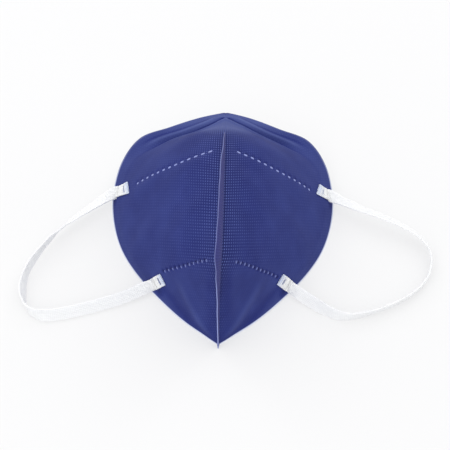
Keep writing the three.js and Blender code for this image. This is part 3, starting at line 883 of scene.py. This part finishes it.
def make_ear_loop(word, side, upper, lower):
    """The loose band on a curve through its points: it leaves its upper end lying flat, stands on
    its edge round the bend and leans back towards its lower end, as its table of rolls says."""
    route = np.array([
        upper["centre"],
        upper["centre"] + CORD_LEAD * upper["run"],
        *LOOP_POINTS[word],
        lower["centre"] + CORD_LEAD * lower["run"],
        lower["centre"],
    ])
    centre = centripetal(route, LOOP_STEP)
    gone = travelled(centre)
    run = unit(np.gradient(centre, gone, axis=0))
    run[0], run[-1] = upper["run"], -lower["run"]
    out = unit(np.cross(run, UP)) * -side
    up = unit(UP - run * (run @ UP)[:, None])

    def roll_of(width, k):
        """The band's roll at one of its ends, in degrees between -90 and 90."""
        return (np.degrees(np.arctan2(width @ up[k], width @ out[k])) + 90) % 180 - 90

    first, last = roll_of(upper["across"], 0), roll_of(lower["across"], -1)
    table = [[0, first], [0.015, first], *BAND_ROLL[word], [0.985, last], [1, last]]
    roll = np.radians(between(table, gone / gone[-1]))
    across = np.cos(roll) * out + np.sin(roll) * up
    through = unit(np.cross(across, run))
    zeros = np.zeros((len(centre), RING_POINTS))
    loop = band_mesh(f"{word}_ear_band", centre, across, through, {"pressed": zeros, "glazed": zeros})
    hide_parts(f"{word}_ear_loop")


ELASTIC = knitted_elastic()
for word, side in (("left", -1), ("right", 1)):
    ends = [make_band_end(f"{height}_{word}", side) for height in ("upper", "lower")]
    make_ear_loop(word, side, *ends)

# ---- The cloth, laid out flat ----------------------------------------------------------------

FLATTEN_ROUNDS = 80
SEAM_MIDDLE = (4.0, 7.0)  # the web runs along the line through the seam at these two sections


def flatten(points):
    """Lays a curved grid of points out flat so that every side and diagonal of its cells keeps its
    length as nearly as the whole allows: each round sets every edge back to its own length in its
    present direction, and finds the places that suit all of them best."""
    rows, columns = points.shape[:2]
    number = np.arange(rows * columns).reshape(rows, columns)
    pairs = [(number[:-1], number[1:]), (number[:, :-1], number[:, 1:]),
             (number[:-1, :-1], number[1:, 1:]), (number[:-1, 1:], number[1:, :-1])]
    a = np.concatenate([p.ravel() for p, _ in pairs])
    b = np.concatenate([q.ravel() for _, q in pairs])
    where = points.reshape(-1, 3)
    length = np.linalg.norm(where[a] - where[b], axis=1)
    system = np.zeros((len(where), len(where)))
    np.add.at(system, (a, a), 1)
    np.add.at(system, (b, b), 1)
    np.add.at(system, (a, b), -1)
    np.add.at(system, (b, a), -1)
    system[0, 0] += 1
    inverse = np.linalg.inv(system)
    down = travelled(points[:, 0])
    out = np.linalg.norm(np.diff(points, axis=1), axis=2).cumsum(axis=1)
    out = np.concatenate([np.zeros((rows, 1)), out], axis=1)
    flat = np.stack([out, np.broadcast_to(-down[:, None], out.shape)], -1).reshape(-1, 2)
    for _ in range(FLATTEN_ROUNDS):
        edge = unit(flat[a] - flat[b]) * length[:, None]
        pull = np.zeros_like(flat)
        np.add.at(pull, a, edge)
        np.add.at(pull, b, -edge)
        flat = inverse @ pull
    return flat.reshape(rows, columns, 2)


def flat_grid():
    """The panel's flat pattern on a coarse grid, in mm, turned so that the web runs beside the seam
    at its middle, and the area of one panel in square metres."""
    t = np.linspace(0, LAST, FLAT_ROWS + 1)
    v = np.linspace(0, 1, FLAT_COLUMNS + 1)
    points = cup_point(*np.meshgrid(t, v, indexing="ij"))
    flat = flatten(points)
    seam = flat[:, 0]
    middle = [np.abs(t - section).argmin() for section in SEAM_MIDDLE]
    down = unit(seam[middle[1]] - seam[middle[0]])
    turn = np.array([[-down[1], down[0]], [-down[0], -down[1]]])
    flat = (flat - seam[0]) @ turn.T
    if flat[FLAT_ROWS // 2, -1, 0] < flat[FLAT_ROWS // 2, 0, 0]:
        flat = flat * [-1, 1]
    cells = np.cross(flat[1:, 1:] - flat[:-1, :-1], flat[1:, :-1] - flat[:-1, 1:])
    return flat, np.abs(cells).sum() / 2 * MM * MM


FLAT, PANEL_AREA = flat_grid()

WEB_TURN = np.radians(24.5)  # the web's rows rise this much from the square to the seam
FOLLOWS_TO = 7.0  # as far down as this section, the web's columns follow the seam


def web_at(t, v):
    """Where a grid of places, given by its rows t and columns v, lies on the web, in mm: along a row
    of bond points from the seam, and across the rows. Past the knee the columns run on straight."""
    rows = along(FLAT, t / LAST * FLAT_ROWS)
    flat = along(rows.transpose(1, 0, 2), v * FLAT_COLUMNS).transpose(1, 0, 2)
    c, s = np.cos(WEB_TURN), np.sin(WEB_TURN)
    turn = np.array([[c, -s], [s, c]])
    web = flat @ turn
    seam = along(FLAT[:, 0], np.linspace(0, FOLLOWS_TO, 80) / LAST * FLAT_ROWS) @ turn
    run = seam[-1] - seam[-3]
    seam = np.concatenate([seam, seam[-1:] + 60 * run])
    start = np.interp(-web[..., 1], -seam[:, 1], seam[:, 0])
    return np.stack([web[..., 0] - start, web[..., 1]], -1)


# ---- The mask's body -------------------------------------------------------------------------

SPUNBOND, CUT_EDGE, LINING = range(3)  # the body's materials, in their order
EDGE_STEPS = ((0.2, 0.8), (0.5, 1.0), (0.8, 0.8))  # across the cut edge: share of the wall, bulge
EDGE_BULGE = 0.12
EDGE_ROOT = (0.985, 0.6)  # a place in the wall that the bulge points away from: way to the rim, depth
EDGE_PALE = (1.4, 0.3)  # mm from the rim over which the cloth turns pale,
EDGE_PALE_FROM = (3.4, 5.2)  # from these sections on,
EDGE_PALE_NOSE = 0.1  # and before them only by this share


def cut_edge(t, side):
    """Three places across the cut edge at each station: the wall's two rims blended by a share, and
    pushed out a little from the cloth."""
    t = t[:, None]
    top, low = skin(t, 0 * t + 1, side), skin(t, 0 * t + 1, side, WALL)
    inner = skin(t, 0 * t + EDGE_ROOT[0], side, EDGE_ROOT[1] * WALL)
    outward = unit((top + low) / 2 - inner) * EDGE_BULGE
    return [top + (low - top) * share + outward * bulge for share, bulge in EDGE_STEPS]


# The cloth is drawn taut beside the seam, where it is darker and its bond points carry a painted
# glint: sections between which that begins, slackens past the knee and ends, the share of it that is
# lost at the knee, and its reach in mm, less past the knee.
TIGHT_BEGINS = (2.35, 3.1)
TIGHT_KNEE = (7.4, 8.6)
TIGHT_ENDS = (9.8, 10.8)
KNEE_LOSS = 0.65
TIGHT_REACH = {"left": 19, "right": 15}
KNEE_REACH_LOSS = 9

# A wider pull over the cheeks, with its reach and sections, and the least there is above the knee.
WIDE_PULL = 0.42
WIDE_REACH = 45
WIDE_SPAN = (3.0, 4.5, 7.5, 8.4)
LEAST_PULL = 0.11
LEAST_ENDS = (7.4, 8.3)


def seam_dark_and_glint_share(t, from_fold, left):
    """How taut the cloth is drawn, from 0 to 1, which darkens it and paints a glint on its bond points.
    It dies out as an exponential from the seam, from the bridge to the chin, further on the left; a
    slower one and a floor keep a little elsewhere."""
    knee = ease(t, *TIGHT_KNEE)
    reach = np.where(left, TIGHT_REACH["left"], TIGHT_REACH["right"]) - KNEE_REACH_LOSS * knee
    near = np.exp(-from_fold / reach) * span(t, *TIGHT_BEGINS, *TIGHT_ENDS) * (1 - KNEE_LOSS * knee)
    wide = WIDE_PULL * np.exp(-from_fold / WIDE_REACH) * span(t, *WIDE_SPAN)
    return np.maximum(np.maximum(near, wide), LEAST_PULL * (1 - ease(t, *LEAST_ENDS)))


def make_body(materials):
    """The laminate as one closed wall. Each station from nose to chin is a ring: outside from the
    left rim over the fold to the right rim, round the cut edge, and back inside."""
    t = LAST * np.linspace(0, 1, CUP_ROWS + 1)
    outer = np.linspace(0, 1, OUTER_COLUMNS + 1)
    inner = np.linspace(0, 1, INNER_COLUMNS + 1)

    def face(v, side, depth):
        """The skin of one side at a depth, on the grid of all stations and those columns."""
        return skin(*np.meshgrid(t, v, indexing="ij"), side, depth)

    grid = np.concatenate([
        face(outer[::-1], -1, 0.0), face(outer[1:], 1, 0.0), *cut_edge(t, 1),
        face(inner[::-1], 1, WALL), face(inner[1:], -1, WALL), *cut_edge(t, -1)[::-1],
    ], axis=1)
    grid[..., 2] = np.maximum(grid[..., 2], 0)
    ring = grid.shape[1]
    rim, plies = np.ones(len(EDGE_STEPS)), [share for share, _ in EDGE_STEPS]
    places = np.concatenate([outer[::-1], outer[1:], rim, inner[::-1], inner[1:], rim])
    depth = np.concatenate([np.zeros(2 * OUTER_COLUMNS + 1), plies,
                            np.ones(2 * INNER_COLUMNS + 1), plies[::-1]])
    left = np.arange(ring) < OUTER_COLUMNS
    down, out = np.meshgrid(t, places, indexing="ij")
    body, strip = section_lengths(down)
    from_fold = out * (body + strip)
    from_rim = body + strip - from_fold
    at_rim = EDGE_PALE_NOSE + (1 - EDGE_PALE_NOSE) * ease(down, *EDGE_PALE_FROM)
    values = {
        "seam_dark_and_glint": seam_dark_and_glint_share(down, from_fold, left),
        "depth": np.broadcast_to(depth, grid.shape[:2]),
        "painted_shading": np.where(left, painted_shading(down, out, -1), painted_shading(down, out, 1)),
        "rim": ease(from_rim, *EDGE_PALE) * at_rim,
    }
    edge = len(EDGE_STEPS) + 1
    strips = np.full(ring, LINING)
    strips[:2 * OUTER_COLUMNS] = SPUNBOND
    strips[2 * OUTER_COLUMNS:2 * OUTER_COLUMNS + edge] = CUT_EDGE
    strips[-edge:] = CUT_EDGE
    slots = np.tile(strips, 2 * CUP_ROWS)
    triangles = tube_triangles(CUP_ROWS + 1, ring, False)
    return make_piece("mask_shell", grid, triangles, materials, slots, web_at(t, places), values)


shell = make_body([navy_spunbond(), cut_plies(), white_lining()])
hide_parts("mask_body")

# ---- Weld marks and fin ----------------------------------------------------------------------

MARK_SPOKES = 16
MARK_RINGS = 4
MARK_PROUD = 0.14
MARK_ROOT = 0.25  # how deep below the skin a mark is closed
MARK_BEND = 0.8  # power that squares its oval a little
MARK_DISH = (0.55, 1.2, -2.4)  # height at its middle, and what its radius squared and to the 6th add


def make_weld_line(name, material):
    """One line's marks: each a closed lens on the cloth, oval, dished in the middle and sunk at its
    rim, drawn from the skin's own surface under it."""
    marks, side = MARKS[name], WELD_LINES[name]["side"]
    angle = 2 * np.pi * np.arange(MARK_SPOKES) / MARK_SPOKES
    radius = np.linspace(0, 1, MARK_RINGS + 1)
    c, s = np.cos(angle), np.sin(angle)
    across = radius[:, None] * (np.sign(s) * np.abs(s) ** MARK_BEND)[None]
    run = radius[:, None] * (np.sign(c) * np.abs(c) ** MARK_BEND)[None]
    middle, rise, fall = MARK_DISH
    dish = MARK_PROUD * (middle + rise * radius**2 + fall * radius**6)[:, None]
    points, triangles = [], []
    for k, (t, v) in enumerate(marks["at"]):
        step = 0.004
        here, by_t, by_v = cup_point(t + np.array([0, step, 0]), v + np.array([0, 0, step]))
        offset = (run[..., None] * marks["half_length"][k] * marks["run"][k]
                  + across[..., None] * marks["half_width"][k] * marks["across"][k])
        solve = np.linalg.pinv(np.stack([by_t - here, by_v - here], 1) / step)
        moved = offset @ solve.T
        place_t, place_v = t + moved[..., 0], v + moved[..., 1]
        top = skin(place_t, place_v, side, -dish)
        base = skin(place_t, place_v, side, MARK_ROOT)
        lens = np.concatenate([base[:-1], top[::-1]])
        triangles.append(tube_triangles(len(lens), MARK_SPOKES, False) + k * lens.shape[0] * MARK_SPOKES)
        points.append(lens.reshape(-1, 3))
    piece = make_piece(f"{name}_weld_line", np.concatenate(points), np.concatenate(triangles), [material])


FILM = {"upper": fused_mark("fused_polypropylene_film", "#6873b3", "#8791ca"),
        "lower": fused_mark("thin_fused_polypropylene_film", "#414c8b", "#5f6aaa")}
for line_name in WELD_LINES:
    make_weld_line(line_name, FILM[line_name[:5]])

FIN_STATIONS = 900
FIN_SINK = 0.5  # how far the fin's foot is rooted in the ridge
FIN_FOOT = 1.2  # thickness at its foot and at its cut edge
FIN_CUT = 0.45
FIN_LEVELS = np.array([0, 0.18, 0.36, 0.54, 0.72, 0.88, 0.96, 1.0])  # shares of its height
FIN_CROWN = ((0.75, 0.28), (0.0, 0.4), (-0.75, 0.28))  # its rounded edge, in halves of the cut's width

# How pale the fin's cut edge is: place along the sections, and strength.
FIN_PALENESS = [[3.0, 0.1], [3.9, 0.42], [5.0, 0.45], [6.5, 0.4], [7.8, 0.42], [8.6, 0.75], [LAST, 0.95]]
RIB_PITCH = 1.15
RIB_DEPTH = 0.11

# Sines by which its height (a share of it) and its lean (in degrees) waver: size, wavelength over
# 2 pi in mm, and phase.
HEIGHT_WAVER = ((0.03, 3.1, 0), (0.03, 1.7, 1))
LEAN_WAVER = ((0.48, 5.3, 0), (0.32, 2.9, 2))


def make_fin(material):
    """The seam allowance as a closed strip: it stands on the ridge, bends to the left by a growing
    share of its lean, and is ribbed by the welding wheel. Its free edge is rounded off, and its
    height and lean waver as sums of two sines."""
    t = np.linspace(FIN[0, 0], LAST, FIN_STATIONS)
    height, lean = between(FIN, t).T
    ridge = cup_point(t, 0 * t)
    run = unit(np.gradient(ridge, axis=0))
    outward = np.stack([0 * t, run[:, 2], -run[:, 1]], 1)
    gone = travelled(ridge)
    height_waver, lean_waver = (sum(size * np.sin(gone / length + phase) for size, length, phase in waver)
                                for waver in (HEIGHT_WAVER, LEAN_WAVER))
    height = height * (1 + height_waver)
    lean = lean + lean_waver
    rib = 0.5 + 0.5 * np.sin(2 * np.pi * gone / RIB_PITCH)
    centre = skin(t, 0 * t, 1) - FIN_SINK * outward
    left, right = [], []
    previous = 0
    for level in FIN_LEVELS:
        tilt = np.radians(lean * level)[:, None]
        upright = outward * np.cos(tilt) - RIGHT * np.sin(tilt)
        across = outward * np.sin(tilt) + RIGHT * np.cos(tilt)
        centre = centre + upright * ((height + FIN_SINK) * (level - previous))[:, None]
        ribbed = RIB_DEPTH * rib * span(level, 0.05, 0.25, 0.8, 0.95)
        half = ((FIN_FOOT + (FIN_CUT - FIN_FOOT) * level) / 2 - ribbed)[:, None]
        left.append(centre - across * half)
        right.append(centre + across * half)
        previous = level
    crown = [centre + FIN_CUT / 2 * (across * x + upright * z) for x, z in FIN_CROWN]
    grid = np.stack([*right, *crown, *left[::-1]], axis=1)
    grid[..., 2] = np.maximum(grid[..., 2], 0)
    at_edge = np.where(FIN_LEVELS == 1, 0.6, 0)
    pale = np.concatenate([at_edge, np.ones(len(FIN_CROWN)), at_edge[::-1]])
    values = {"edge": pale * between(FIN_PALENESS, t),
              "rib": np.broadcast_to(rib[:, None], grid.shape[:2])}
    triangles = tube_triangles(len(t), grid.shape[1], True)
    piece = make_piece("centre_fin", grid, triangles, [material], values=values)
    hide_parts("centre_seam")


make_fin(welded_fin())

# ---- Floor and light -------------------------------------------------------------------------

def make_floor():
    """A wide sheet of matt acrylic just under the mask, lit a little from below."""
    size, drop = 4.0, 0.00005
    mesh = bpy.data.meshes.new("floor")
    corners = [(-size, -size, -drop), (size, -size, -drop), (size, size, -drop), (-size, size, -drop)]
    mesh.from_pydata(corners, [], [(0, 1, 2, 3)])
    mesh.materials.append(finish_material(new_material("backlit_white_acrylic"), "#9c9c9d", (), None, {
        "Emission Color": linear("#ffffff"), "Emission Strength": 0.52, "Roughness": 0.9}))
    floor = bpy.data.objects.new("floor", mesh)
    bpy.context.scene.collection.objects.link(floor)


def make_light(name, azimuth, elevation, distance, size, power):
    """A square soft light that faces the mask, azimuth 0 being behind it and 90 to its right."""
    a, e = np.radians(azimuth), np.radians(elevation)
    direction = np.array([np.sin(a) * np.cos(e), np.cos(a) * np.cos(e), np.sin(e)])
    data = bpy.data.lights.new(name, "AREA")
    data.size = size
    data.energy = power
    put(name, data, direction * distance, -direction)


def make_world(strength):
    """Even white surroundings."""
    world = bpy.data.worlds.new("surroundings")
    world.use_nodes = True
    background = next(n for n in world.node_tree.nodes if n.bl_idname == "ShaderNodeBackground")
    background.inputs["Color"].default_value = (1, 1, 1, 1)
    background.inputs["Strength"].default_value = strength
    bpy.context.scene.world = world


# Soft lights: azimuth and elevation in degrees, distance and size in metres, power in watts.
LIGHTS = {
    "overhead": (0, 88, 1.3, 1.6, 3.6),
    "front_fill": (205, 42, 1.4, 1.3, 5.2),
    "back_left": (-38, 36, 1.0, 0.35, 0.8),
    "back_right": (38, 36, 1.0, 0.35, 0.8),
}

make_floor()
make_world(0.97)
for light_name, row in LIGHTS.items():
    make_light(light_name, *row)
bpy.context.scene.view_settings.view_transform = "Standard"
